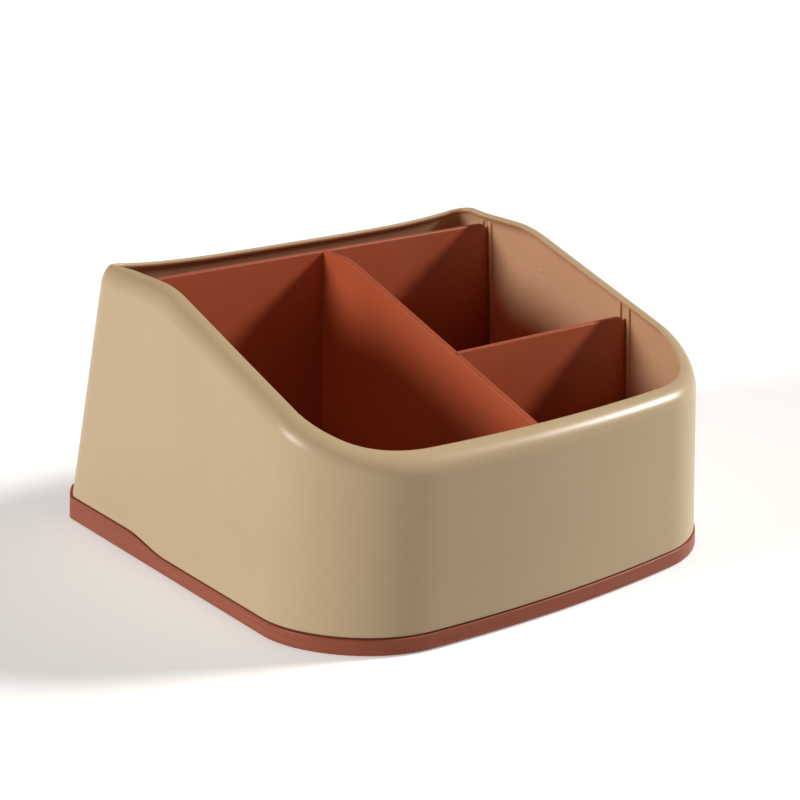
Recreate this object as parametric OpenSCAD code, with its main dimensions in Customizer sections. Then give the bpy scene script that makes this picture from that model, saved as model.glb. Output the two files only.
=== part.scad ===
// Desk organizer: a tapered sleeve with a rolled sloping rim sits over a base tray
// that carries three upright dividers. All sizes in millimetres, +Z up.

/* [View] */

// Which piece to draw, or all of them

/* [Outer shell] */

// Width across the lower edge of the shell
shell_width = 160; // [140:1:180]

// Depth front to back at the lower edge, on the centre line
shell_depth = 145.3; // [134:0.1:156]

// Crest height of the low front rim
front_height = 56.4; // [50:0.1:60]

// Crest height of the high rear rim
rear_height = 85.2; // [80:0.1:95]

// How far the front wall bulges forward between its corners
front_bow = 7.5; // [2:0.5:10]

// How far the middle of the rear rim dips below its ends
rear_dip = 3.6; // [0:0.1:4]

// Wall thickness
wall = 1.8; // [1.6:0.1:2.4]

// Outside radius of the rolled rim
rim_radius = 6; // [4.5:0.25:7]

// How far the rim is rolled over, in degrees; 90 brings its edge level
roll_end = 80; // [70:1:90]

// How far the rear rim reaches inward, as a share of the reach along the sides
rear_roll = 0.3; // [0.2:0.05:1]

// Inward lean of the side walls, millimetres per millimetre of height
side_draft = 0.068; // [0.03:0.002:0.08]

// Inward lean of the front wall
front_draft = 0.03; // [0.01:0.002:0.05]

// Inward lean of the rear wall
rear_draft = 0.14; // [0.1:0.005:0.16]

// Plan radius of the front corners at the lower edge
front_corner = 33; // [26:1:38]

// Plan radius of the rear corners at the lower edge
rear_corner = 5.5; // [5:0.5:12]

/* [Rim slope] */

// Where the side rims start to climb, measured from the centre
slope_start = -61.6; // [-64:0.1:-50]

// Where the side rims level out at the rear
slope_end = 23.4; // [18:0.1:30]

// Half length of the lower blend
lower_blend = 8.5; // [5:0.5:12]

// Half length of the upper blend
upper_blend = 6.5; // [4:0.5:10]

/* [Base tray] */

// Height of the visible skirt at the front, above its underside
skirt_front = 4.9; // [3.5:0.1:6]

// Extra skirt height along the rear of the tray
skirt_step = 2.6; // [1:0.1:3.5]

// Thickness of the tray floor
floor_thickness = 2.6; // [2.2:0.1:3.2]

// Height of the upstand that the shell sits over, above the skirt
upstand_height = 7.5; // [6:0.5:9]

/* [Dividers] */

// Thickness of the divider plates
plate = 2; // [1.8:0.1:2.4]

// Front face of the back panel, measured from the centre
panel_front = 46.5; // [42:0.1:47]

// Top of the back panel
panel_top = 80.9; // [76:0.1:82]

// Middle of the long divider, measured from the centre
long_x = 2.8; // [-4:0.1:8]

// Front face of the cross divider, measured from the centre
cross_front = -19.8; // [-26:0.1:-12]

// Top of the cross divider
cross_top = 63.3; // [60:0.1:64]

/* [Feet] */

// Diameter of the rubber feet
foot_diameter = 14; // [10:0.5:16]

// How far the feet hold the tray off the desk
foot_lift = 0.5; // [0.4:0.1:1.6]

/* [Hidden] */

CREAM = [0.78, 0.69, 0.55];
TERRACOTTA = [0.6, 0.33, 0.25];
RUBBER = [0.12, 0.11, 0.11];

// points along each straight side and round each corner of the plan
front_n = 20;
side_n = 34;
rear_n = 16;
corner_n = 11;
ring_n = front_n + 2 * side_n + rear_n + 4 * corner_n;

// lower edge of the shell and the gap below it
edge_z = foot_lift + skirt_front;
edge_gap = 0.3;
edge_round = 0.5;

// the rear part of the lower edge is stepped up between these two depths
step_from = 14;
step_to = 36;

// and it rises once more round the rear corners
rear_rise = 3;
rear_rise_run = 4;

// fixed heights used to read the plan
plan_z = 68;
top_z = 85;

// shell corner radii change a little with height
front_corner_loss = 2;
rear_corner_gain = 5;

// clearance between the shell and everything inside it
shell_gap = 0.45;

// divider plates: slot and tab sizes
tab_depth = 1.6;
tab_length = 14;
slot_gap = 0.15;

// guide ribs inside the shell
rib_width = 1.2;
rib_reach = 1;
rib_gap = 0.35;
rib_top_drop = 3.4;
rib_root = 0.6;
rib_base = foot_lift + skirt_front + upstand_height + 2;

// base tray
chamfer = 0.4;
skirt_flare = 0.4;
skirt_corner = 32;
skirt_rear_corner = 4.5;
upstand_wall = 1.6;
upstand_inset = wall + shell_gap;
floor_top = foot_lift + floor_thickness;
upstand_top = edge_z + upstand_height;

// feet
foot_recess = 1.2;
foot_inset = 22;
foot_gap = 0.15;

// smooth step from 0 to 1
function ease(t) = let (c = max(0, min(1, t))) c * c * (3 - 2 * c);

// zero, then a line of slope one, with a round blend of half length k
function ramp(u, k) = u < -k ? 0 : u > k ? u : (u + k) * (u + k) / (4 * k);

// plan half width, front and rear of the outer face at height z
function half_x(z) = shell_width / 2 - side_draft * (z - edge_z);
function front_y(z) = shell_depth / 2 - front_draft * (z - edge_z);
function rear_y(z) = shell_depth / 2 - rear_draft * (z - edge_z);
function front_r(z) = front_corner - front_corner_loss * (z - edge_z) / top_z;
function rear_r(z) = rear_corner + rear_corner_gain * (z - edge_z) / top_z;

// the front side bulges forward between the corners
function bow(p, a, yf) = [p[0], p[1] + ease(-p[1] / yf) * front_bow * pow(p[0] / a, 2)];

function arc_point(cx, cy, r, a) = [cx + r * cos(a), cy + r * sin(a)];

// point i of a rounded plan with half width a, front yf, rear yb and corner radii rf, rb
function plan_point(i, a, yf, yb, rf, rb) =
    let (n1 = front_n, n2 = n1 + corner_n, n3 = n2 + side_n, n4 = n3 + corner_n,
         n5 = n4 + rear_n, n6 = n5 + corner_n, n7 = n6 + side_n)
    i < n1 ? [-a + rf + (2 * a - 2 * rf) * i / front_n, -yf] :
    i < n2 ? arc_point(a - rf, -yf + rf, rf, -90 + 90 * (i - n1) / corner_n) :
    i < n3 ? [a, -yf + rf + (yf + yb - rf - rb) * (i - n2) / side_n] :
    i < n4 ? arc_point(a - rb, yb - rb, rb, 90 * (i - n3) / corner_n) :
    i < n5 ? [a - rb - (2 * a - 2 * rb) * (i - n4) / rear_n, yb] :
    i < n6 ? arc_point(-a + rb, yb - rb, rb, 90 + 90 * (i - n5) / corner_n) :
    i < n7 ? [-a, yb - rb - (yf + yb - rf - rb) * (i - n6) / side_n] :
    arc_point(-a + rf, -yf + rf, rf, 180 + 90 * (i - n7) / corner_n);

// the same, moved inward by d
function inset_point(i, a, yf, yb, rf, rb, d) =
    bow(plan_point(i, a - d, yf - d, yb - d, max(rf - d, 1), max(rb - d, 1)), a, yf);

// outer face of the shell at height z, moved inward by d
function shell_point(i, z, d) =
    inset_point(i, half_x(z), front_y(z), rear_y(z), front_r(z), rear_r(z), d);

// rim height at depth y
function slope_height(y) =
    let (m = (rear_height - front_height) / (slope_end - slope_start))
    front_height + m * ramp(y - slope_start, lower_blend) - m * ramp(y - slope_end, upper_blend);

// 0 along the sides, easing to 1 round the rear corners
function rear_share(p) = ease((p[1] - 0.3 * shell_depth) / (0.12 * shell_depth));

// the rear rim dips a little in the middle
function dip(p) = rear_dip * rear_share(p) * (1 - pow(p[0] / half_x(top_z), 4));

function rim_height(p) = slope_height(p[1]) - dip(p);

// crest height and lower edge height for every point of the plan
rim = [for (i = [0 : ring_n - 1]) rim_height(shell_point(i, slope_height(shell_point(i, plan_z, 0)[1]), 0))];
function edge_height(y) = edge_z
    + skirt_step * ease((y - step_from) / (step_to - step_from))
    + rear_rise * ease((y - shell_depth / 2 + rear_rise_run) / rear_rise_run);
edge = [for (i = [0 : ring_n - 1]) edge_height(shell_point(i, edge_z, 0)[1])];

// how much of the roll's reach is taken away at every point of the plan
roll_cut = [for (i = [0 : ring_n - 1]) (1 - rear_roll) * rear_share(shell_point(i, rim[i], 0))];

// shell section: [inset, 0 for wall or 1 for rim, fraction up the wall or depth below the crest,
// reach of the rolled wall's middle]
lip_r = wall / 2;
mid_r = rim_radius - lip_r;
function reach(a) = mid_r * (1 - cos(a));

// point of the roll at angle a, on the side of the rolled wall that faces angle b
function roll_point(a, b) =
    [lip_r + reach(a) - lip_r * cos(b), 1, rim_radius - mid_r * sin(a) - lip_r * sin(b), reach(a)];

outer_wall = [for (k = [0 : 5]) [0, 0, k / 6, 0]];
outer_roll = [for (k = [0 : 6]) let (a = roll_end * k / 6) roll_point(a, a)];
lip = [for (k = [1 : 5]) roll_point(roll_end, roll_end + 30 * k)];
inner_roll = [for (k = [0 : 5]) let (a = roll_end * (1 - k / 5)) roll_point(a, a + 180)];
inner_wall = [for (k = [1 : 5]) [wall, 0, 1 - k / 5, 0]];
shell_section = concat([[edge_round, 0, 0, 0]], outer_wall, outer_roll, lip, inner_roll, inner_wall);

function section_z(s, i) =
    s[1] == 1 ? rim[i] - s[2] : edge[i] + (rim[i] - rim_radius - edge[i]) * s[2];

// closed skin over a list of rings; loop = true joins the last ring to the first
function ring_faces(rings, n, loop) =
    [for (k = [0 : (loop ? rings - 1 : rings - 2)], i = [0 : n - 1], h = [0, 1])
        let (j = (i + 1) % n, a = k * n, b = ((k + 1) % rings) * n)
        h == 0 ? [a + i, b + i, b + j] : [a + i, b + j, a + j]];

module shell_skin() {
    count = len(shell_section);
    points = [for (k = [0 : count - 1], i = [0 : ring_n - 1])
        let (s = shell_section[k], lift = k == 1 ? edge_round : 0, z = section_z(s, i) + lift,
             p = shell_point(i, z, s[0] - s[3] * roll_cut[i]))
        [p[0], p[1], z]];
    polyhedron(points = points, faces = ring_faces(count, ring_n, true), convexity = 8);
}

// inner face of the shell: half width, front and rear at height z
function inner_x(z) = half_x(z) - wall;
function inner_front(z) = front_y(z) - wall;

// one guide rib on a side wall; y is its middle, top follows the rim above it
module side_rib(side, y) {
    top = slope_height(y) - rib_top_drop;
    translate([0, y + rib_width / 2, 0])
        rotate([90, 0, 0])
            linear_extrude(rib_width)
                polygon([[side * (inner_x(rib_base) - rib_reach), rib_base + rib_reach],
                         [side * (inner_x(rib_base) + rib_root), rib_base],
                         [side * (inner_x(top) + rib_root), top],
                         [side * (inner_x(top) - rib_reach), top]]);
}

// one guide rib on the front wall; x is its middle
module front_rib(x) {
    top = front_height - rib_top_drop;
    translate([x - rib_width / 2, 0, 0])
        rotate([90, 0, 90])
            linear_extrude(rib_width)
                polygon([[-inner_front(rib_base) + rib_reach, rib_base + rib_reach],
                         [-inner_front(rib_base) - rib_root, rib_base],
                         [-inner_front(top) - rib_root, top],
                         [-inner_front(top) + rib_reach, top]]);
}

rib_offset = plate / 2 + rib_gap + rib_width / 2;
panel_y = panel_front + plate / 2;
cross_y = cross_front + plate / 2;

module outer_shell() {
    color(CREAM)
        union() {
            shell_skin();
            for (side = [-1, 1], s = [-1, 1])
                side_rib(side, panel_y + s * rib_offset);
            for (s = [-1, 1]) {
                side_rib(1, cross_y + s * rib_offset);
                front_rib(long_x + s * rib_offset);
            }
        }
}

// skirt outline of the tray, d outside the shell's lower edge
function skirt_point(i, d) =
    inset_point(i, half_x(edge_z), front_y(edge_z), rear_y(edge_z),
                skirt_corner, skirt_rear_corner, -d);

// tray section rows: [kind, inset, height]; kind 0 skirt, 1 ledge, 2 upstand
tray_section = [
    [0, skirt_flare - chamfer, foot_lift],
    [0, skirt_flare, foot_lift + chamfer],
    [3, 0.1, 0.5],
    [3, -0.3, 0.05],
    [1, upstand_inset, 0],
    [2, upstand_inset, upstand_top - 0.6],
    [2, upstand_inset + 0.6, upstand_top],
    [2, upstand_inset + upstand_wall, upstand_top],
    [2, upstand_inset + upstand_wall, floor_top + 1],
    [2, upstand_inset + upstand_wall + 1, floor_top]
];

function tray_point(s, i) =
    s[0] == 0 ? let (p = skirt_point(i, s[1])) [p[0], p[1], s[2]] :
    s[0] == 3 ? let (p = skirt_point(i, s[1])) [p[0], p[1], edge[i] - edge_gap - s[2]] :
    s[0] == 1 ? let (z = edge[i] - edge_gap, p = shell_point(i, z, s[1])) [p[0], p[1], z] :
    let (p = shell_point(i, s[2], s[1])) [p[0], p[1], s[2]];

module tray_body() {
    count = len(tray_section);
    points = [for (k = [0 : count - 1], i = [0 : ring_n - 1]) tray_point(tray_section[k], i)];
    bottom = [for (i = [0 : ring_n - 1]) i];
    top = [for (i = [ring_n - 1 : -1 : 0]) (count - 1) * ring_n + i];
    polyhedron(points = points, faces = concat([bottom], [top], ring_faces(count, ring_n, false)),
               convexity = 6);
}

// tab positions along the dividers
panel_tabs = [-48, -14, 48];
long_tabs = [-46, 0, 30];
cross_tabs = [26, 58];
tab_floor = floor_top - tab_depth - 0.2;

module tray_slot(x, y, sx, sy) {
    translate([x - sx / 2 - slot_gap, y - sy / 2 - slot_gap, tab_floor])
        cube([sx + 2 * slot_gap, sy + 2 * slot_gap, tab_depth + 1]);
}

foot_x = shell_width / 2 - foot_inset;
foot_y = shell_depth / 2 - foot_inset;

module base_tray() {
    color(TERRACOTTA)
        difference() {
            tray_body();
            for (x = panel_tabs)
                tray_slot(x, panel_y, tab_length, plate);
            for (y = long_tabs)
                tray_slot(long_x, y, plate, tab_length);
            for (x = cross_tabs)
                tray_slot(x, cross_y, tab_length, plate);
            for (sx = [-1, 1], sy = [-1, 1])
                translate([sx * foot_x, sy * foot_y, foot_lift - 1])
                    cylinder(d = foot_diameter + 2 * foot_gap, h = foot_recess + 1, $fn = 48);
        }
}

// plate edges stop this far from the shell, the upstand and the tray floor
plate_gap = 0.6;
plate_foot = floor_top + 0.1;
plate_clear = upstand_top + 0.6;
upstand_clear = upstand_inset + upstand_wall + 0.4;
plate_corner = 3.5;

// tabs that join the plates: the long divider's rear tabs pass through the back panel,
// and the cross divider's tabs sit in blind grooves in the long divider
rear_tab_z = [16, 54];
rear_tab_h = 12;
cross_tab_z = [18, 42];
cross_tab_h = 10;
groove_depth = 1.1;

// top line of the long divider: level at the rear, then falling to the front
level_from = 34.4;
level_blend = 4;
long_fall = 0.337;
function long_top(y) = panel_top - long_fall * ramp(level_from - y, level_blend);

// plate edges that follow the walls, and the lower edges inside the upstand
function side_edge(z) = inner_x(z) - plate_gap;
function side_low(z) = half_x(z) - upstand_clear;
function front_edge(z) = plate_gap - inner_front(z);
function front_low(z) = upstand_clear - front_y(z);

// rounded top corner of a plate, from level to upright
function corner_arc(x, z) = [for (a = [90 : -15 : 0])
    [x - plate_corner + plate_corner * cos(a), z - plate_corner + plate_corner * sin(a)]];

function flip(points) = [for (k = [len(points) - 1 : -1 : 0]) [-points[k][0], points[k][1]]];

// right half of a cross plate, from its top centre round to its foot
function half_plate(top) = concat(
    corner_arc(side_edge(top), top),
    [[side_edge(plate_clear), plate_clear],
     [side_low(plate_foot), plate_clear],
     [side_low(plate_foot), plate_foot]]);

// plate standing across the tray, drawn in X and Z, with its middle at depth y
module across(y) {
    translate([0, y + plate / 2, 0])
        rotate([90, 0, 0])
            linear_extrude(plate)
                children();
}

// plate standing front to back, drawn in Y and Z, with its middle at x
module along(x) {
    translate([x - plate / 2, 0, 0])
        rotate([90, 0, 90])
            linear_extrude(plate)
                children();
}

module tab_across(x, y) {
    translate([x - tab_length / 2, y - plate / 2, plate_foot - tab_depth])
        cube([tab_length, plate, tab_depth + 1]);
}

module tab_along(x, y) {
    translate([x - plate / 2, y - tab_length / 2, plate_foot - tab_depth])
        cube([plate, tab_length, tab_depth + 1]);
}

module back_panel() {
    color(TERRACOTTA)
        difference() {
            union() {
                across(panel_y)
                    polygon(concat(half_plate(panel_top), flip(half_plate(panel_top))));
                for (x = panel_tabs)
                    tab_across(x, panel_y);
            }
            for (z = rear_tab_z)
                translate([long_x - plate / 2 - slot_gap, panel_y - plate, z - slot_gap])
                    cube([plate + 2 * slot_gap, 2 * plate, rear_tab_h + 2 * slot_gap]);
        }
}

module long_divider() {
    tip_z = long_top(front_edge(50));
    top_line = [for (y = [level_from + level_blend : -2 : level_from - level_blend]) [y, long_top(y)]];
    color(TERRACOTTA)
        difference() {
            union() {
                along(long_x)
                    polygon(concat(
                        [[panel_front - slot_gap, plate_foot], [panel_front - slot_gap, panel_top]],
                        top_line,
                        [[front_edge(tip_z) + 3, long_top(front_edge(tip_z) + 3)],
                         [front_edge(tip_z) + 0.9, tip_z - 0.2],
                         [front_edge(tip_z), tip_z - 3],
                         [front_edge(plate_clear), plate_clear],
                         [front_low(plate_foot), plate_clear],
                         [front_low(plate_foot), plate_foot]]));
                for (z = rear_tab_z)
                    translate([long_x - plate / 2, panel_front - 1, z])
                        cube([plate, plate + 1, rear_tab_h]);
                for (y = long_tabs)
                    tab_along(long_x, y);
            }
            for (z = cross_tab_z)
                translate([long_x + plate / 2 - groove_depth - slot_gap,
                           cross_y - plate / 2 - slot_gap, z - slot_gap])
                    cube([plate, plate + 2 * slot_gap, cross_tab_h + 2 * slot_gap]);
        }
}

module cross_divider() {
    x0 = long_x + plate / 2 + slot_gap;
    color(TERRACOTTA)
        union() {
            across(cross_y)
                polygon(concat([[x0, plate_foot], [x0, cross_top]], half_plate(cross_top)));
            for (z = cross_tab_z)
                translate([x0 - groove_depth - slot_gap, cross_y - plate / 2, z])
                    cube([groove_depth + slot_gap + 1, plate, cross_tab_h]);
            for (x = cross_tabs)
                tab_across(x, cross_y);
        }
}

module foot(sx, sy) {
    color(RUBBER)
        translate([sx * foot_x, sy * foot_y, 0])
            union() {
                cylinder(d1 = foot_diameter - 1, d2 = foot_diameter, h = 0.5, $fn = 48);
                translate([0, 0, 0.5])
                    cylinder(d = foot_diameter, h = foot_lift + foot_recess - 0.6, $fn = 48);
            }
}

module foot_front_left() {
    foot(-1, -1);
}

module foot_front_right() {
    foot(1, -1);
}

module foot_rear_left() {
    foot(-1, 1);
}

module foot_rear_right() {
    foot(1, 1);
}

outer_shell();
base_tray();
back_panel();
long_divider();
cross_divider();
foot_front_left();
foot_front_right();
foot_rear_left();
foot_rear_right();
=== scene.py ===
import math

import bmesh
import bpy
import numpy as np
from mathutils import Matrix, Vector


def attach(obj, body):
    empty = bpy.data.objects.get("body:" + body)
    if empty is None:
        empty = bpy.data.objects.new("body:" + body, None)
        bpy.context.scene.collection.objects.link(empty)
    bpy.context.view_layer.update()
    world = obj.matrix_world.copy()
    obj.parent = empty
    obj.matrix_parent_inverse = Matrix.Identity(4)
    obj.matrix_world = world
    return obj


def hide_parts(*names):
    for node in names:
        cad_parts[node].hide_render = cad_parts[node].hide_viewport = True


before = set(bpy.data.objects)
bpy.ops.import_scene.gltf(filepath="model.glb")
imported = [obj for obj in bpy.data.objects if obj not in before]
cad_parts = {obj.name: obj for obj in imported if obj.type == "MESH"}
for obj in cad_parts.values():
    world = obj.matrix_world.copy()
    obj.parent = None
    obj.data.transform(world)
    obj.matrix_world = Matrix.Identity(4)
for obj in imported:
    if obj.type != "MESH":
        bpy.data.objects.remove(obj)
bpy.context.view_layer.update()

MM = 0.001
scene = bpy.context.scene

# ---------------------------------------------------------------- sizes, in millimetres
WIDTH, DEPTH = 160.0, 145.3
FRONT_H, REAR_H = 56.4, 85.2
BOW, DIP = 7.5, 3.6
WALL, RIM_R, ROLL_END, REAR_ROLL = 1.8, 6.0, 80.0, 0.3
SIDE_DRAFT, FRONT_DRAFT, REAR_DRAFT = 0.068, 0.03, 0.14
FRONT_CORNER, REAR_CORNER = 33.0, 5.5
FRONT_CORNER_LOSS, REAR_CORNER_GAIN = 2.0, 5.0
SLOPE_START, SLOPE_END, LOWER_BLEND, UPPER_BLEND = -61.6, 23.4, 8.5, 6.5
LIFT, SKIRT, STEP, REAR_RISE, REAR_RISE_RUN = 0.5, 4.9, 2.6, 3.0, 4.0
FLOOR_T, UPSTAND = 2.6, 7.5
PLATE, PANEL_FRONT, PANEL_TOP = 2.0, 46.5, 80.9
LONG_X, CROSS_FRONT, CROSS_TOP = 2.8, -19.8, 63.3
FOOT_D, FOOT_INSET, RECESS_H = 14.0, 22.0, 1.2

EDGE_Z = LIFT + SKIRT
EDGE_GAP = 0.3
EDGE_ROUND, INNER_ROUND = 0.6, 0.35
STEP_FROM, STEP_TO = 14.0, 36.0
TOP_Z, PLAN_Z = 85.0, 68.0
REAR_FROM, REAR_BLEND = 0.3, 0.12
SHELL_GAP = 0.45
FLOOR_Z = LIFT + FLOOR_T
UPSTAND_TOP = EDGE_Z + UPSTAND
UPSTAND_INSET = WALL + SHELL_GAP
UPSTAND_WALL = 1.6
SKIRT_CORNER, SKIRT_REAR_CORNER = 32.0, 4.5
SKIRT_FLARE = 0.4
SKIRT_ROUND, SKIRT_TOP_ROUND = 0.4, 0.45
OUTER_ROUND, TOP_ROUND, FILLET = 0.6, 0.4, 1.2
PANEL_Y = PANEL_FRONT + PLATE / 2
CROSS_Y = CROSS_FRONT + PLATE / 2
PLATE_CORNER = 3.5
PLATE_FOOT = FLOOR_Z - 0.2
LAND = 0.8
LONG_FALL, LEVEL_FROM = 0.337, 34.4
PLATE_GAP = 0.6
PLATE_CLEAR = UPSTAND_TOP + 0.6
UPSTAND_CLEAR = UPSTAND_INSET + UPSTAND_WALL + 0.4


def ease(t):
    t = np.clip(t, 0, 1)
    return t * t * (3 - 2 * t)


def ramp(u, k):
    return np.where(u < -k, 0, np.where(u > k, u, (u + k) ** 2 / (4 * k)))


def half_x(z):
    return WIDTH / 2 - SIDE_DRAFT * (z - EDGE_Z)


def front_y(z):
    return DEPTH / 2 - FRONT_DRAFT * (z - EDGE_Z)


def rear_y(z):
    return DEPTH / 2 - REAR_DRAFT * (z - EDGE_Z)


def columns(front=64, corner=26, side=84, rear=56, rear_corner=20):
    """Plan columns as rows of (segment, fraction); eight segments, anticlockwise from the front left."""
    counts = (front, corner, side, rear_corner, rear, rear_corner, side, corner)
    return np.array([(s, i / n) for s, n in enumerate(counts) for i in range(n)], float)


def plan(cols, z, inset, rf=None, rb=None):
    """Points of the rounded plan at height z (one value per column), moved inward by inset."""
    s, t = cols[:, 0], cols[:, 1]
    z = np.broadcast_to(np.asarray(z, float), s.shape)
    a0, yf0 = half_x(z), front_y(z)
    rf = FRONT_CORNER - FRONT_CORNER_LOSS * (z - EDGE_Z) / TOP_Z if rf is None else rf
    rb = REAR_CORNER + REAR_CORNER_GAIN * (z - EDGE_Z) / TOP_Z if rb is None else rb
    a, yf, yb = a0 - inset, yf0 - inset, rear_y(z) - inset
    rf, rb = np.maximum(rf - inset, 1), np.maximum(rb - inset, 1)
    q = np.radians(90 * t)
    x = np.select(
        [s == 0, s == 1, s == 2, s == 3, s == 4, s == 5, s == 6, s == 7],
        [-a + rf + (2 * a - 2 * rf) * t, a - rf + rf * np.sin(q), a, a - rb + rb * np.cos(q),
         a - rb - (2 * a - 2 * rb) * t, -a + rb - rb * np.sin(q), -a, -a + rf - rf * np.cos(q)])
    y = np.select(
        [s == 0, s == 1, s == 2, s == 3, s == 4, s == 5, s == 6, s == 7],
        [-yf, -yf + rf - rf * np.cos(q), -yf + rf + (yf + yb - rf - rb) * t, yb - rb + rb * np.sin(q),
         yb, yb - rb + rb * np.cos(q), yb - rb - (yf + yb - rf - rb) * t, -yf + rf - rf * np.sin(q)])
    y = y + ease(-y / yf0) * BOW * (x / a0) ** 2
    return np.stack([x, y], 1)


def slope_height(y):
    m = (REAR_H - FRONT_H) / (SLOPE_END - SLOPE_START)
    return FRONT_H + m * ramp(y - SLOPE_START, LOWER_BLEND) - m * ramp(y - SLOPE_END, UPPER_BLEND)


def rear_share(p):
    """0 along the sides, 1 along the rear: how far the rear rim's dip and short roll apply."""
    return ease((p[:, 1] - REAR_FROM * DEPTH) / (REAR_BLEND * DEPTH))


def rim_heights(cols):
    first = plan(cols, PLAN_Z, 0)
    p = plan(cols, slope_height(first[:, 1]), 0)
    dip = DIP * rear_share(p) * (1 - (p[:, 0] / half_x(TOP_Z)) ** 4)
    return slope_height(p[:, 1]) - dip


def edge_heights(cols):
    p = plan(cols, EDGE_Z, 0)
    rise = STEP * ease((p[:, 1] - STEP_FROM) / (STEP_TO - STEP_FROM))
    return EDGE_Z + rise + REAR_RISE * ease((p[:, 1] - DEPTH / 2 + REAR_RISE_RUN) / REAR_RISE_RUN)


def skin(rings):
    """Quads over rings of the same length, the last joined to the first."""
    n = len(rings[0])
    faces = []
    for k in range(len(rings)):
        a, b = k * n, ((k + 1) % len(rings)) * n
        for i in range(n):
            j = (i + 1) % n
            faces.append((a + i, a + j, b + j, b + i))
    return faces


def mesh_object(name, verts, faces):
    mesh = bpy.data.meshes.new(name)
    points = [tuple(float(c) * MM for c in v) for v in verts]
    mesh.from_pydata(points, [], [tuple(map(int, f)) for f in faces])
    mesh.validate()
    obj = bpy.data.objects.new(name, mesh)
    scene.collection.objects.link(obj)
    return obj


def smooth(obj, angle=40.0, flip_check=True):
    """Consistent outward normals and smooth shading with creases at hard edges."""
    bm = bmesh.new()
    bm.from_mesh(obj.data)
    bmesh.ops.remove_doubles(bm, verts=bm.verts, dist=2e-7)
    if flip_check:
        bmesh.ops.recalc_face_normals(bm, faces=bm.faces)
    for f in bm.faces:
        f.smooth = True
    for e in bm.edges:
        e.smooth = len(e.link_faces) == 2 and e.calc_face_angle(0) < math.radians(angle)
    bm.to_mesh(obj.data)
    bm.free()


def weighted(obj):
    m = obj.modifiers.new("even_shading", "WEIGHTED_NORMAL")
    m.keep_sharp = True
    m.weight = 60


def fuse(obj, others):
    """Boolean union of obj with other closed meshes, applied."""
    for o in others:
        m = obj.modifiers.new("fuse", "BOOLEAN")
        m.operation = "UNION"
        m.solver = "EXACT"
        m.object = o
    deps = bpy.context.evaluated_depsgraph_get()
    fused = bpy.data.meshes.new_from_object(obj.evaluated_get(deps))
    obj.modifiers.clear()
    obj.data = fused
    for o in others:
        bpy.data.objects.remove(o)


# ---------------------------------------------------------------- outer shell
def shell_mesh():
    cols = columns()
    rim, edge = rim_heights(cols), edge_heights(cols)
    cut = (1 - REAR_ROLL) * rear_share(plan(cols, rim, 0))
    lip_r = WALL / 2
    mid_r = RIM_R - lip_r
    rows = []  # inset and height, one value per column

    def wall_row(inset, f, extra=0.0):
        rows.append((inset, edge + (rim - RIM_R - edge) * f + extra))

    def roll_row(a, b):
        """Point of the roll at angle a, on the side of the rolled wall that faces angle b."""
        a, b = math.radians(a), math.radians(b)
        reach = mid_r * (1 - math.cos(a))
        rows.append((lip_r + reach * (1 - cut) - lip_r * math.cos(b),
                     rim - RIM_R + mid_r * math.sin(a) + lip_r * math.sin(b)))

    for a in (90, 60, 30, 0):  # small round on the outer lower edge
        q = math.radians(a)
        wall_row(EDGE_ROUND * (1 - math.cos(q)), 0, EDGE_ROUND * (1 - math.sin(q)))
    for k in range(1, 25):
        wall_row(0, k / 25)
    for k in range(0, 15):
        roll_row(ROLL_END * k / 14, ROLL_END * k / 14)
    for k in range(1, 12):
        roll_row(ROLL_END, ROLL_END + 15 * k)
    for k in range(0, 13):
        roll_row(ROLL_END * (1 - k / 12), ROLL_END * (1 - k / 12) + 180)
    for k in range(1, 13):
        wall_row(WALL, 1 - k / 13)
    wall_row(WALL, 0, INNER_ROUND)
    wall_row(WALL - 0.1, 0, 0.1)
    wall_row(WALL - INNER_ROUND, 0, 0)
    rings = []
    for inset, z in rows:
        p = plan(cols, z, inset)
        rings.append(np.column_stack([p, z]))
    return mesh_object("shell", np.concatenate(rings), skin(rings))


def soft_bar(name, outline, axis, centre, thick, edge=0.35):
    """Closed bar: outline in the plane across axis ('x' or 'y'), rounded along its long edges."""
    return extruded(name, outline, axis, centre, thick, edge, 3)


def offset_loop(loop, d):
    """Loop moved inward by d (anticlockwise loops shrink)."""
    if d == 0:
        return loop.copy()
    prev, nxt = np.roll(loop, 1, 0), np.roll(loop, -1, 0)
    e1, e2 = loop - prev, nxt - loop
    e1 /= np.linalg.norm(e1, axis=1)[:, None]
    e2 /= np.linalg.norm(e2, axis=1)[:, None]
    n1, n2 = np.stack([-e1[:, 1], e1[:, 0]], 1), np.stack([-e2[:, 1], e2[:, 0]], 1)
    m = n1 + n2
    m /= np.maximum(1 + (n1 * n2).sum(1), 0.35)[:, None]
    return loop + m * d


def area_sign(loop):
    x, y = loop[:, 0], loop[:, 1]
    return np.sign((x * np.roll(y, -1) - np.roll(x, -1) * y).sum())


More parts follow.
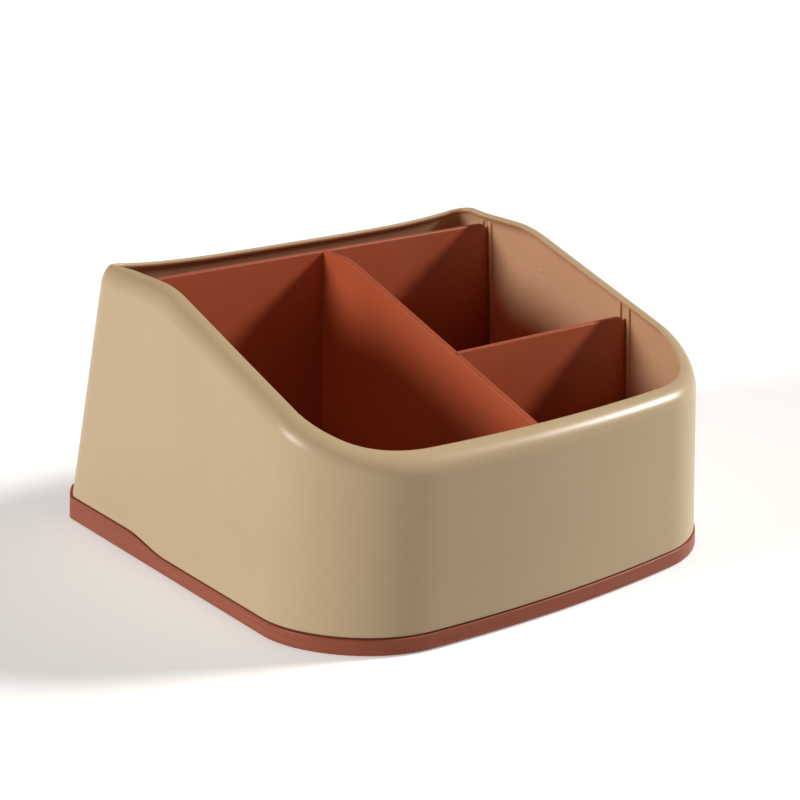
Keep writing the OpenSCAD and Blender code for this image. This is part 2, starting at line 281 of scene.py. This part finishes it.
def extruded(name, outer, axis, centre, thick, edge, steps, land=0.0):
    """Closed plate with rounded edges. The outline is in (y, z) for axis 'x', in (x, z) for 'y'."""
    outer = np.array(outer, float)
    if area_sign(outer) < 0:
        outer = outer[::-1]
    rows = []
    for k in range(steps + 1):
        q = math.radians(90 * k / steps)
        rows.append((edge * (1 - math.sin(q)), -thick / 2 + edge * (1 - math.cos(q))))
    if land:  # a ring just inside the round keeps edge shading off the flat faces
        rows.insert(0, (edge + land, -thick / 2))
    rows += [(d, -w) for d, w in reversed(rows)]
    bm = bmesh.new()

    def place(p, w):
        if axis == "x":
            return (centre + w, p[0], p[1])
        return (p[0], centre + w, p[1])

    grid = [[bm.verts.new([c * MM for c in place(p, w)]) for p in offset_loop(outer, d)] for d, w in rows]
    n = len(outer)
    for k in range(len(rows) - 1):
        for i in range(n):
            j = (i + 1) % n
            bm.faces.new((grid[k][i], grid[k][j], grid[k + 1][j], grid[k + 1][i]))
    for ring in (grid[0], grid[-1]):
        cap = [bm.edges.get((ring[i], ring[(i + 1) % n])) for i in range(n)]
        bmesh.ops.triangle_fill(bm, edges=cap, use_beauty=True, use_dissolve=False)
    bmesh.ops.recalc_face_normals(bm, faces=bm.faces)
    mesh = bpy.data.meshes.new(name)
    bm.to_mesh(mesh)
    bm.free()
    obj = bpy.data.objects.new(name, mesh)
    scene.collection.objects.link(obj)
    return obj


def inner_x(z):
    return half_x(z) - WALL


def inner_front(z):
    return front_y(z) - WALL


RIB_W, RIB_REACH, RIB_GAP, RIB_DROP, RIB_ROOT = 1.2, 1.0, 0.35, 3.4, 0.6
RIB_BASE = UPSTAND_TOP + 2
RIB_OFFSET = PLATE / 2 + RIB_GAP + RIB_W / 2
DOME_STEM = 0.6


def side_rib(side, y):
    top = float(slope_height(y)) - RIB_DROP
    loop = [(side * (inner_x(RIB_BASE) - RIB_REACH), RIB_BASE + RIB_REACH),
            (side * (inner_x(RIB_BASE) + RIB_ROOT), RIB_BASE),
            (side * (inner_x(top) + RIB_ROOT), top),
            (side * (inner_x(top) - RIB_REACH), top)]
    return soft_bar("rib", loop, "y", y, RIB_W)


def front_rib(x):
    top = FRONT_H - RIB_DROP
    loop = [(-inner_front(RIB_BASE) + RIB_REACH, RIB_BASE + RIB_REACH),
            (-inner_front(RIB_BASE) - RIB_ROOT, RIB_BASE),
            (-inner_front(top) - RIB_ROOT, top),
            (-inner_front(top) + RIB_REACH, top)]
    return soft_bar("rib", loop, "x", x, RIB_W)


def dome(name, centre, axis, r, h, n=20, rows=5):
    """Low closed button: a spherical cap on a short stem, pointing along axis."""
    w = Vector(axis).normalized()
    u = w.orthogonal().normalized()
    v = w.cross(u)
    rings = [(r, -DOME_STEM)]
    for k in range(rows):
        q = math.radians(90 * k / rows)
        rings.append((r * math.cos(q), h * math.sin(q)))
    verts, faces = [], []
    for rr, hh in rings:
        for i in range(n):
            q = 2 * math.pi * i / n
            verts.append(Vector(centre) + u * rr * math.cos(q) + v * rr * math.sin(q) + w * hh)
    for k in range(len(rings) - 1):
        for i in range(n):
            j = (i + 1) % n
            faces.append((k * n + i, k * n + j, (k + 1) * n + j, (k + 1) * n + i))
    verts.append(Vector(centre) + w * h)
    top = len(verts) - 1
    last = (len(rings) - 1) * n
    faces += [(last + i, last + (i + 1) % n, top) for i in range(n)]
    faces.append(tuple(range(n - 1, -1, -1)))
    return mesh_object(name, verts, faces)


shell = shell_mesh()
smooth(shell)
extras = [side_rib(side, PANEL_Y + s * RIB_OFFSET) for side in (-1, 1) for s in (-1, 1)]
extras += [side_rib(1, CROSS_Y + s * RIB_OFFSET) for s in (-1, 1)]
extras += [front_rib(LONG_X + s * RIB_OFFSET) for s in (-1, 1)]
pip_y, pip_z = 20.5, 69.5
extras.append(dome("pip", (inner_x(pip_z), pip_y, pip_z), (-1, 0, 0.06), 0.75, 0.22))
for e in extras:
    smooth(e)
fuse(shell, extras)
smooth(shell, 35.0, False)
weighted(shell)
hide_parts("outer_shell")
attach(shell, "shell")


# ---------------------------------------------------------------- base tray
def tray_mesh():
    cols = columns()
    edge = edge_heights(cols)
    n = len(cols)
    rings = []

    def skirt(inset, z):
        p = plan(cols, EDGE_Z, inset, SKIRT_CORNER, SKIRT_REAR_CORNER)
        rings.append(np.column_stack([p, np.broadcast_to(z, (n,))]))

    def upstand(inset, z):
        z = np.broadcast_to(np.asarray(z, float), (n,))
        rings.append(np.column_stack([plan(cols, z, inset), z]))

    top = edge - EDGE_GAP
    inner = UPSTAND_INSET + UPSTAND_WALL
    c = SKIRT_ROUND
    skirt(-SKIRT_FLARE + c + LAND, LIFT)
    skirt(-SKIRT_FLARE + c, LIFT)
    for a in (22, 45, 68, 90):
        q = math.radians(a)
        skirt(-SKIRT_FLARE + c * (1 - math.sin(q)), LIFT + c * (1 - math.cos(q)))
    for f in (0.25, 0.5, 0.75):
        skirt(-SKIRT_FLARE + (SKIRT_FLARE - 0.1) * f, LIFT + c + (top - SKIRT_TOP_ROUND - LIFT - c) * f)
    for a in (0, 30, 60, 90):
        q = math.radians(a)
        skirt(-0.1 + SKIRT_TOP_ROUND * (1 - math.cos(q)),
              top - SKIRT_TOP_ROUND + SKIRT_TOP_ROUND * math.sin(q))
    upstand(UPSTAND_INSET, top)
    upstand(UPSTAND_INSET, top + 0.3)
    for f in (0.33, 0.66):
        upstand(UPSTAND_INSET, top + (UPSTAND_TOP - OUTER_ROUND - top) * f)
    for a in (0, 30, 60, 90):
        q = math.radians(a)
        upstand(UPSTAND_INSET + OUTER_ROUND * (1 - math.cos(q)),
                UPSTAND_TOP - OUTER_ROUND + OUTER_ROUND * math.sin(q))
    for a in (90, 45, 0):
        q = math.radians(a)
        upstand(inner - TOP_ROUND * (1 - math.cos(q)), UPSTAND_TOP - TOP_ROUND + TOP_ROUND * math.sin(q))
    for a in (0, 22, 45, 68, 90):
        q = math.radians(a)
        upstand(inner + FILLET * (1 - math.cos(q)), FLOOR_Z + FILLET - FILLET * math.sin(q))
    upstand(inner + FILLET + LAND, FLOOR_Z)
    bm = bmesh.new()
    grid = [[bm.verts.new([float(c2) * MM for c2 in p]) for p in r] for r in rings]
    for k in range(len(grid) - 1):
        for i in range(n):
            j = (i + 1) % n
            bm.faces.new((grid[k][i], grid[k][j], grid[k + 1][j], grid[k + 1][i]))
    bottom = [bm.edges.get((grid[0][i], grid[0][(i + 1) % n])) for i in range(n)]
    floor = [bm.edges.get((grid[-1][i], grid[-1][(i + 1) % n])) for i in range(n)]
    # foot recesses in the underside
    m = 48
    mouth, recess = FOOT_D / 2 + 0.35, FOOT_D / 2 + 0.15
    for sx in (-1, 1):
        for sy in (-1, 1):
            cx, cy = sx * (WIDTH / 2 - FOOT_INSET), sy * (DEPTH / 2 - FOOT_INSET)
            loops = []
            for r, z in ((mouth + LAND, LIFT), (mouth, LIFT),
                         (recess, LIFT + 0.2), (recess, LIFT + RECESS_H)):
                loops.append([bm.verts.new([(cx + r * math.cos(2 * math.pi * i / m)) * MM,
                                            (cy + r * math.sin(2 * math.pi * i / m)) * MM, z * MM])
                              for i in range(m)])
            for a, b in zip(loops, loops[1:]):
                for i in range(m):
                    bm.faces.new((a[i], a[(i + 1) % m], b[(i + 1) % m], b[i]))
            bm.faces.new(loops[-1])
            bottom += [bm.edges.get((loops[0][i], loops[0][(i + 1) % m])) for i in range(m)]
    bmesh.ops.triangle_fill(bm, edges=bottom, use_beauty=True)
    bmesh.ops.triangle_fill(bm, edges=floor, use_beauty=True)
    bmesh.ops.recalc_face_normals(bm, faces=bm.faces)
    mesh = bpy.data.meshes.new("tray")
    bm.to_mesh(mesh)
    bm.free()
    obj = bpy.data.objects.new("tray", mesh)
    scene.collection.objects.link(obj)
    return obj


tray = tray_mesh()
smooth(tray, 50.0)
weighted(tray)
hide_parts("base_tray")
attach(tray, "base")


# ---------------------------------------------------------------- dividers
def side_edge(z):
    return inner_x(z) - PLATE_GAP


def side_low(z):
    return half_x(z) - UPSTAND_CLEAR


def front_edge(z):
    return PLATE_GAP - inner_front(z)


def front_low(z):
    return UPSTAND_CLEAR - front_y(z)


def long_top(y):
    return float(PANEL_TOP - LONG_FALL * ramp(LEVEL_FROM - y, 4.0))


def corner_arc(x, z, r, n=12):
    return [(x - r + r * math.cos(math.radians(a)), z - r + r * math.sin(math.radians(a)))
            for a in np.linspace(90, 0, n)]


def half_plate(top):
    return corner_arc(side_edge(top), top, PLATE_CORNER) + [
        (side_edge(PLATE_CLEAR), PLATE_CLEAR),
        (side_low(FLOOR_Z), PLATE_CLEAR),
        (side_low(FLOOR_Z), PLATE_FOOT)]


right = half_plate(PANEL_TOP)
left = [(-x, z) for x, z in reversed(right)]
panel = extruded("panel", right + left, "y", PANEL_Y, PLATE, 0.55, 4, LAND)

# the plates run a little into each other, so that no seam shows where they meet
KEY = 0.9
TIP_R = 3
fx = front_edge(45.0)
long_loop = [(PANEL_FRONT + KEY, PLATE_FOOT), (PANEL_FRONT + KEY, PANEL_TOP - 0.05)]
long_loop += [(y, long_top(y) - 0.05) for y in np.arange(43.0, 27.0, -0.8)]
long_loop += [(y, long_top(y)) for y in np.linspace(24.0, fx + 5, 16)]
for a in (20, 45, 70, 90):
    q = math.radians(a)
    long_loop.append((fx + TIP_R - TIP_R * math.sin(q), long_top(fx + TIP_R) - TIP_R + TIP_R * math.cos(q)))
long_loop += [(front_edge(PLATE_CLEAR), PLATE_CLEAR), (front_low(FLOOR_Z), PLATE_CLEAR),
              (front_low(FLOOR_Z), PLATE_FOOT)]
long_plate = extruded("divider_long", long_loop, "x", LONG_X, PLATE, 0.6, 4, LAND)

x0 = LONG_X + PLATE / 2 - KEY
cross_loop = [(x0, PLATE_FOOT), (x0, CROSS_TOP)] + half_plate(CROSS_TOP)
cross_plate = extruded("divider_cross", cross_loop, "y", CROSS_Y, PLATE, 0.55, 4, LAND)

for obj, node in ((panel, "back_panel"), (long_plate, "long_divider"), (cross_plate, "cross_divider")):
    smooth(obj, 50.0)
    weighted(obj)
    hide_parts(node)
    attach(obj, "base")


# ---------------------------------------------------------------- feet
def foot_mesh(name, cx, cy):
    r = FOOT_D / 2
    prof = [(0.0, 0.25), (1.6, 0.25), (2.0, 0.0), (3.2, 0.0), (3.4, 0.3), (4.2, 0.3), (4.4, 0.0), (5.6, 0.0),
            (6.2, 0.06), (6.7, 0.26), (r, 0.6), (r, 2.05)]
    n = 64
    verts = [(cx, cy, prof[0][1])]
    faces = []
    for rr, z in prof[1:]:
        verts += [(cx + rr * math.cos(2 * math.pi * i / n), cy + rr * math.sin(2 * math.pi * i / n), z)
                  for i in range(n)]
    faces += [(0, 1 + (i + 1) % n, 1 + i) for i in range(n)]
    for k in range(len(prof) - 2):
        a, b = 1 + k * n, 1 + (k + 1) * n
        faces += [(a + i, a + (i + 1) % n, b + (i + 1) % n, b + i) for i in range(n)]
    last = 1 + (len(prof) - 2) * n
    faces.append(tuple(last + i for i in range(n)))
    return mesh_object(name, verts, faces)


feet = []
for name, sx, sy in (("front_left", -1, -1), ("front_right", 1, -1),
                     ("rear_left", -1, 1), ("rear_right", 1, 1)):
    foot = foot_mesh("pad_" + name, sx * (WIDTH / 2 - FOOT_INSET), sy * (DEPTH / 2 - FOOT_INSET))
    smooth(foot, 50.0)
    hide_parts("foot_" + name)
    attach(foot, "base")
    feet.append(foot)


# ---------------------------------------------------------------- materials
class Nodes:
    def __init__(self, name):
        self.mat = bpy.data.materials.new(name)
        self.mat.use_nodes = True
        self.tree = self.mat.node_tree
        self.tree.nodes.clear()
        self.out = self.tree.nodes.new("ShaderNodeOutputMaterial")
        self.bsdf = self.tree.nodes.new("ShaderNodeBsdfPrincipled")
        self.link(self.bsdf.outputs["BSDF"], self.out.inputs["Surface"])
        self.coord = self.tree.nodes.new("ShaderNodeTexCoord")

    def link(self, a, b):
        self.tree.links.new(a, b)

    def noise(self, scale, detail=3.0, rough=0.5, stretch=None):
        n = self.tree.nodes.new("ShaderNodeTexNoise")
        n.inputs["Scale"].default_value = scale
        n.inputs["Detail"].default_value = detail
        n.inputs["Roughness"].default_value = rough
        source = self.coord.outputs["Object"]
        if stretch:
            m = self.tree.nodes.new("ShaderNodeMapping")
            m.inputs["Scale"].default_value = stretch
            self.link(source, m.inputs["Vector"])
            source = m.outputs["Vector"]
        self.link(source, n.inputs["Vector"])
        return n.outputs["Fac"]

    def range(self, value, lo, hi, to_lo, to_hi):
        n = self.tree.nodes.new("ShaderNodeMapRange")
        n.inputs["From Min"].default_value = lo
        n.inputs["From Max"].default_value = hi
        n.inputs["To Min"].default_value = to_lo
        n.inputs["To Max"].default_value = to_hi
        self.link(value, n.inputs["Value"])
        return n.outputs["Result"]

    def mix(self, fac, a, b):
        n = self.tree.nodes.new("ShaderNodeMix")
        n.data_type = "RGBA"
        for key, v in (("Factor", fac), ("A", a), ("B", b)):
            kind = "VALUE" if key == "Factor" else "RGBA"
            socket = [s for s in n.inputs if s.name == key and s.type == kind][0]
            if isinstance(v, (tuple, float, int)):
                socket.default_value = v
            else:
                self.link(v, socket)
        return [s for s in n.outputs if s.type == "RGBA"][0]

    def math(self, op, a, b):
        n = self.tree.nodes.new("ShaderNodeMath")
        n.operation = op
        for i, v in enumerate((a, b)):
            if isinstance(v, (float, int)):
                n.inputs[i].default_value = v
            else:
                self.link(v, n.inputs[i])
        return n.outputs[0]

    def bump(self, height, strength, distance, normal=None):
        n = self.tree.nodes.new("ShaderNodeBump")
        n.inputs["Strength"].default_value = strength
        n.inputs["Distance"].default_value = distance
        self.link(height, n.inputs["Height"])
        if normal is not None:
            self.link(normal, n.inputs["Normal"])
        return n.outputs["Normal"]

    def edge_mask(self):
        g = self.tree.nodes.new("ShaderNodeNewGeometry")
        return self.range(g.outputs["Pointiness"], 0.52, 0.62, 0.0, 1.0)


# the last value sets how strongly convex edges are painted lighter, a painted highlight along the edges
GRAIN, GRAIN_DEPTH, PAINTED_EDGE_HIGHLIGHT = 1500.0, 0.00002, 0.30


def plastic(name, base, dark, light, rough, specular, streaks=0.0, depth=0.0):
    """Moulded plastic. streaks adds fine level flow lines; depth, in metres, lets light scatter inside."""
    n = Nodes(name)
    if depth:
        n.bsdf.inputs["Subsurface Weight"].default_value = 0.5
        n.bsdf.inputs["Subsurface Radius"].default_value = (1.0, 0.38, 0.15)
        n.bsdf.inputs["Subsurface Scale"].default_value = depth
    cloud = n.noise(28.0, 4.0, 0.55)
    fleck = n.noise(420.0, 2.0, 0.5)
    colour = n.mix(n.range(cloud, 0.35, 0.68, 0.0, 1.0), dark, base)
    colour = n.mix(n.range(fleck, 0.35, 0.75, 0.0, 0.08), colour, light)
    # convex edges painted lighter: a painted highlight where rounded edges catch the light
    colour = n.mix(n.math("MULTIPLY", n.edge_mask(), PAINTED_EDGE_HIGHLIGHT), colour, light)
    if streaks:
        flow = n.noise(1.0, 3.0, 0.5, stretch=(16.0, 16.0, 1500.0))
        colour = n.mix(n.range(flow, 0.52, 0.72, 0.0, streaks), colour, light)
    n.link(colour, n.bsdf.inputs["Base Color"])
    smear = n.noise(55.0, 3.0, 0.6)
    fine = n.noise(700.0, 2.0, 0.6)
    r = n.range(smear, 0.3, 0.7, rough[0], rough[1])
    r = n.math("ADD", r, n.range(fine, 0.3, 0.7, -0.015, 0.015))
    n.link(r, n.bsdf.inputs["Roughness"])
    peel = n.noise(190.0, 2.0, 0.5)
    nrm = n.bump(peel, 0.12, 0.0001)
    nrm = n.bump(n.noise(GRAIN, 2.0, 0.5), 0.08, GRAIN_DEPTH, nrm)
    if streaks:
        nrm = n.bump(n.noise(1.0, 2.0, 0.5, stretch=(14.0, 14.0, 1700.0)), 0.35, 0.00005, nrm)
    n.link(nrm, n.bsdf.inputs["Normal"])
    n.bsdf.inputs["Specular IOR Level"].default_value = specular
    return n.mat


def rubber(name):
    n = Nodes(name)
    cloud = n.noise(160.0, 3.0, 0.6)
    n.link(n.mix(cloud, (0.012, 0.011, 0.011, 1), (0.03, 0.028, 0.027, 1)), n.bsdf.inputs["Base Color"])
    n.link(n.range(n.noise(700.0, 2.0, 0.5), 0.3, 0.7, 0.72, 0.9), n.bsdf.inputs["Roughness"])
    n.link(n.bump(n.noise(2200.0, 3.0, 0.6), 0.5, 0.00006), n.bsdf.inputs["Normal"])
    return n.mat


CREAM = plastic("cream_plastic", (0.63, 0.475, 0.285, 1), (0.605, 0.455, 0.27, 1), (0.72, 0.57, 0.37, 1),
                rough=(0.305, 0.36), specular=0.36)
# inner faces: the same cream tinted warmer, a painted reflection of the orange bounce light from the
# terracotta; only the light scattering inside the wall is real
CREAM_PAINTED_BOUNCE = plastic("cream_plastic_painted_bounce",
                      (0.59, 0.365, 0.21, 1), (0.565, 0.345, 0.195, 1), (0.68, 0.45, 0.27, 1),
                      rough=(0.40, 0.50), specular=0.35, depth=0.003)
CLAY = plastic("terracotta_plastic", (0.47, 0.100, 0.040, 1), (0.43, 0.088, 0.034, 1), (0.54, 0.16, 0.08, 1),
               rough=(0.36, 0.46), specular=0.4)
CLAY_TRAY = plastic("terracotta_skirt",
                    (0.345, 0.090, 0.048, 1), (0.315, 0.080, 0.041, 1), (0.47, 0.17, 0.11, 1),
                    rough=(0.36, 0.46), streaks=0.35, specular=0.25)
RUBBER = rubber("foot_rubber")


def coat(obj, mat):
    obj.data.materials.clear()
    obj.data.materials.append(mat)


coat(shell, CREAM)
# faces on the inner side of the wall get the warmer copy of the cream: painted bounce light, not a different
# plastic
shell.data.materials.append(CREAM_PAINTED_BOUNCE)
for f in shell.data.polygons:
    c = f.center / MM
    out = Vector((c.x / half_x(c.z), c.y / (DEPTH / 2), 0))
    margin = WALL * 0.6
    inner = abs(c.x) < half_x(c.z) - margin and -front_y(c.z) + margin < c.y < rear_y(c.z) - margin
    f.material_index = 1 if f.normal.dot(out.normalized()) < 0.35 and f.normal.z < 0.25 and inner else 0
coat(tray, CLAY_TRAY)
for o in (panel, long_plate, cross_plate):
    coat(o, CLAY)
for o in feet:
    coat(o, RUBBER)

# ---------------------------------------------------------------- camera
LENS = 84.1
cam = bpy.data.cameras.new("camera")
cam.lens = LENS
cam.sensor_width = 36.0
cam.clip_start = 0.01
cam_obj = bpy.data.objects.new("camera", cam)
scene.collection.objects.link(cam_obj)
right_v = Vector((0.77562764, -0.63073883, 0.0238809))
up_v = Vector((0.18340278, 0.26141222, 0.9476429))
fwd = Vector((0.60395793, 0.7306382, -0.3184378))
rot = Matrix((right_v, up_v, -fwd)).transposed().to_4x4()
cam_obj.matrix_world = Matrix.Translation((-0.350, -0.41952, 0.22706)) @ rot
scene.camera = cam_obj

# ---------------------------------------------------------------- floor and light
bm = bmesh.new()
bmesh.ops.create_grid(bm, x_segments=8, y_segments=8, size=30.0)
floor_mesh = bpy.data.meshes.new("floor")
bm.to_mesh(floor_mesh)
bm.free()
floor = bpy.data.objects.new("floor", floor_mesh)
scene.collection.objects.link(floor)
nf = Nodes("floor_paper")
paper = nf.mix(nf.noise(9.0, 3.0, 0.5), (0.93, 0.93, 0.925, 1), (0.96, 0.96, 0.955, 1))
nf.link(paper, nf.bsdf.inputs["Base Color"])
nf.bsdf.inputs["Roughness"].default_value = 0.9
nf.bsdf.inputs["Emission Color"].default_value = (1.0, 1.0, 1.0, 1)
nf.bsdf.inputs["Emission Strength"].default_value = 0.36
nf.bsdf.inputs["Specular IOR Level"].default_value = 0.1
floor.data.materials.append(nf.mat)
floor.visible_diffuse = False

# even studio surround: bright walls, a darker and warmer ceiling
world = bpy.data.worlds.new("studio")
scene.world = world
world.use_nodes = True
wt = world.node_tree
wt.nodes.clear()
w_out = wt.nodes.new("ShaderNodeOutputWorld")
bg = wt.nodes.new("ShaderNodeBackground")
w_coord = wt.nodes.new("ShaderNodeTexCoord")
w_split = wt.nodes.new("ShaderNodeSeparateXYZ")
w_range = wt.nodes.new("ShaderNodeMapRange")
w_range.inputs["From Min"].default_value = 0.12
w_range.inputs["From Max"].default_value = 0.50
w_range.inputs["To Min"].default_value = 0.31
w_range.inputs["To Max"].default_value = 0.05
wt.links.new(w_coord.outputs["Generated"], w_split.inputs["Vector"])
wt.links.new(w_split.outputs["Z"], w_range.inputs["Value"])
w_tint = wt.nodes.new("ShaderNodeValToRGB")
w_tint.color_ramp.elements[0].position = 0.10
w_tint.color_ramp.elements[0].color = (1.0, 0.99, 0.975, 1)
w_tint.color_ramp.elements[1].position = 0.40
w_tint.color_ramp.elements[1].color = (1.0, 0.60, 0.36, 1)
wt.links.new(w_split.outputs["Z"], w_tint.inputs["Fac"])
wt.links.new(w_tint.outputs["Color"], bg.inputs["Color"])
wt.links.new(w_range.outputs["Result"], bg.inputs["Strength"])
wt.links.new(bg.outputs["Background"], w_out.inputs["Surface"])


def studio_light(name, towards, strength, angle, colour):
    """Distant soft light arriving from the direction given."""
    light = bpy.data.lights.new(name, "SUN")
    light.energy = strength * math.pi
    light.angle = math.radians(angle)
    light.color = colour
    obj = bpy.data.objects.new(name, light)
    scene.collection.objects.link(obj)
    obj.matrix_world = Vector(towards).to_track_quat("Z", "Y").to_matrix().to_4x4()


studio_light("left", (-0.95, 0.14, 0.31), 0.72, 16, (1.0, 0.985, 0.96))
studio_light("right", (1.0, -0.38, 0.66), 1.05, 12, (1.0, 0.985, 0.96))

scene.view_settings.view_transform = "Standard"
scene.view_settings.look = "None"
scene.cycles.use_denoising = True
scene.cycles.max_bounces = 10
scene.cycles.diffuse_bounces = 6
